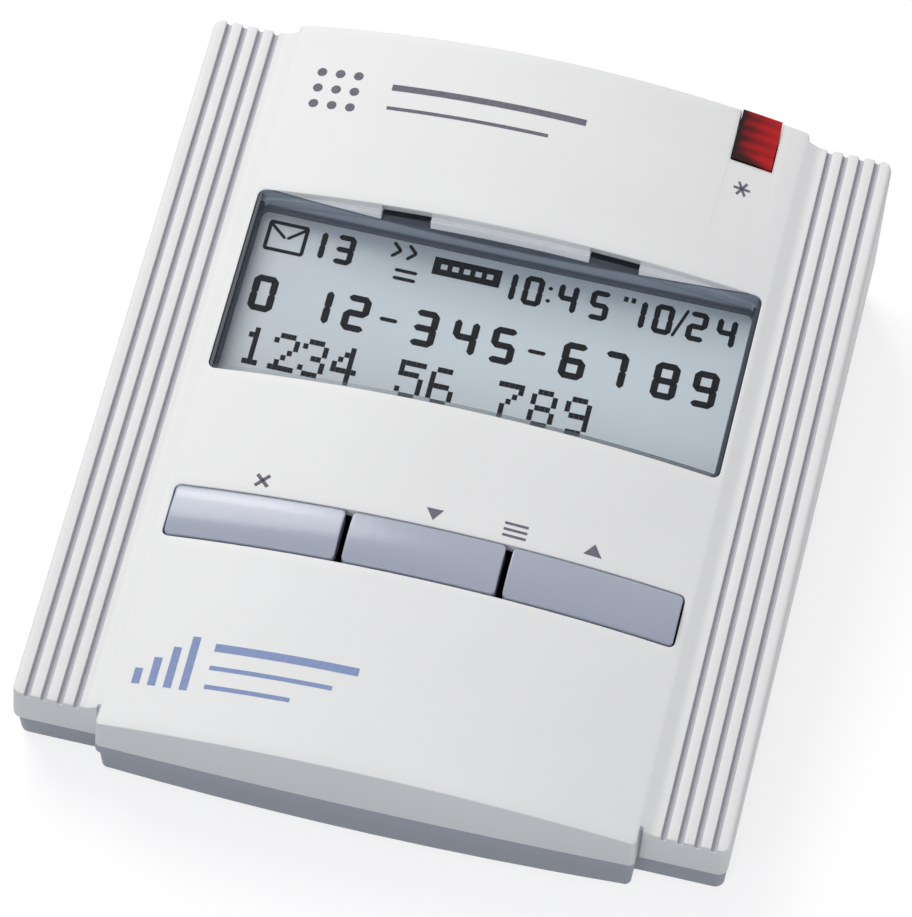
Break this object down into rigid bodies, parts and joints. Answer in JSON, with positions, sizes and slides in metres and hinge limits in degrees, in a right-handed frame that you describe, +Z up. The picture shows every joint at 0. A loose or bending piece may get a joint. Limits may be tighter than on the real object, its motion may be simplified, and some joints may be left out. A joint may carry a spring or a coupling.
{
  "type": "caller id box",
  "caption": "Wedge-shaped telephone caller display with a crowned deck, ribbed side wings, a windowed display, push keys, a call light and rear modular jacks.",
  "frame": {"origin": "middle of the overall box, on the table under the rubber feet", "axes": "+X to the right of someone reading the display, +Y to the back where the jacks are, +Z up"},
  "size_m": [0.108, 0.1243, 0.0382],
  "materials": {
    "top_housing": "fine satin moulding, off-white",
    "bottom_housing": "fine satin moulding, pale grey",
    "battery_door": "fine satin moulding, pale grey",
    "rubber_feet": "matt black",
    "case_screws": "zinc plated",
    "display_window": "clear, polished",
    "display_bezel": "slate grey",
    "display_glass": "grey liquid-crystal panel",
    "display_reflector": "brushed film",
    "connector_strips": "striped elastomer",
    "erase_key": "satin lavender grey",
    "scroll_down_key": "satin lavender grey",
    "scroll_up_key": "satin lavender grey",
    "erase_dome": "silicone, grey",
    "scroll_down_dome": "silicone, grey",
    "scroll_up_dome": "silicone, grey",
    "call_light_lens": "translucent red",
    "call_light_lamp": "red epoxy",
    "display_board": "green circuit board",
    "controller_chip": "black moulded package",
    "clock_crystal": "drawn can",
    "display_board_screws": "zinc plated",
    "line_board": "tan paper circuit board",
    "decoder_chip": "black moulded package",
    "line_transformer": "varnished core and winding",
    "capacitors": "dark blue sleeves",
    "line_board_screws": "zinc plated",
    "ribbon_cable": "grey insulation",
    "ribbon_sockets": "ivory",
    "line_jack": "black",
    "phone_jack": "black",
    "line_jack_contacts": "gold plated",
    "phone_jack_contacts": "gold plated",
    "battery_cells": "plain grey sleeves",
    "left_battery_contacts": "nickel plated",
    "right_battery_contacts": "nickel plated",
    "positive_lead": "red insulation",
    "negative_lead": "black insulation"
  },
  "bodies": {
    "case": {"top_housing": "top_housing", "bottom_housing": "bottom_housing", "rubber_feet": "rubber_feet", "case_screws": "case_screws", "display_window": "display_window", "display_bezel": "display_bezel", "display_glass": "display_glass", "display_reflector": "display_reflector", "connector_strips": "connector_strips", "erase_dome": "erase_dome", "scroll_down_dome": "scroll_down_dome", "scroll_up_dome": "scroll_up_dome", "call_light_lens": "call_light_lens", "call_light_lamp": "call_light_lamp", "display_board": "display_board", "controller_chip": "controller_chip", "clock_crystal": "clock_crystal", "display_board_screws": "display_board_screws", "line_board": "line_board", "decoder_chip": "decoder_chip", "line_transformer": "line_transformer", "capacitors": "capacitors", "line_board_screws": "line_board_screws", "ribbon_cable": "ribbon_cable", "ribbon_sockets": "ribbon_sockets", "line_jack": "line_jack", "phone_jack": "phone_jack", "line_jack_contacts": "line_jack_contacts", "phone_jack_contacts": "phone_jack_contacts", "battery_cells": "battery_cells", "left_battery_contacts": "left_battery_contacts", "right_battery_contacts": "right_battery_contacts", "positive_lead": "positive_lead", "negative_lead": "negative_lead"},
    "erase_key": {"erase_key": "erase_key"},
    "scroll_down_key": {"scroll_down_key": "scroll_down_key"},
    "scroll_up_key": {"scroll_up_key": "scroll_up_key"},
    "battery_door": {"battery_door": "battery_door"}
  },
  "joints": [
    {"name": "erase_press", "type": "slide", "parent": "case", "child": "erase_key", "axis": [0, 0.1392, -0.9903], "range_m": [0, 0.001], "stiffness_N_per_m": 1000, "deforming": ["erase_dome"]},
    {"name": "scroll_down_press", "type": "slide", "parent": "case", "child": "scroll_down_key", "axis": [0, 0.1392, -0.9903], "range_m": [0, 0.001], "stiffness_N_per_m": 1000, "deforming": ["scroll_down_dome"]},
    {"name": "scroll_up_press", "type": "slide", "parent": "case", "child": "scroll_up_key", "axis": [0, 0.1392, -0.9903], "range_m": [0, 0.001], "stiffness_N_per_m": 1000, "deforming": ["scroll_up_dome"]},
    {"name": "battery_door_slide", "type": "slide", "parent": "case", "child": "battery_door", "axis": [-1, 0, 0], "range_m": [0, 0.056]}
  ]
}
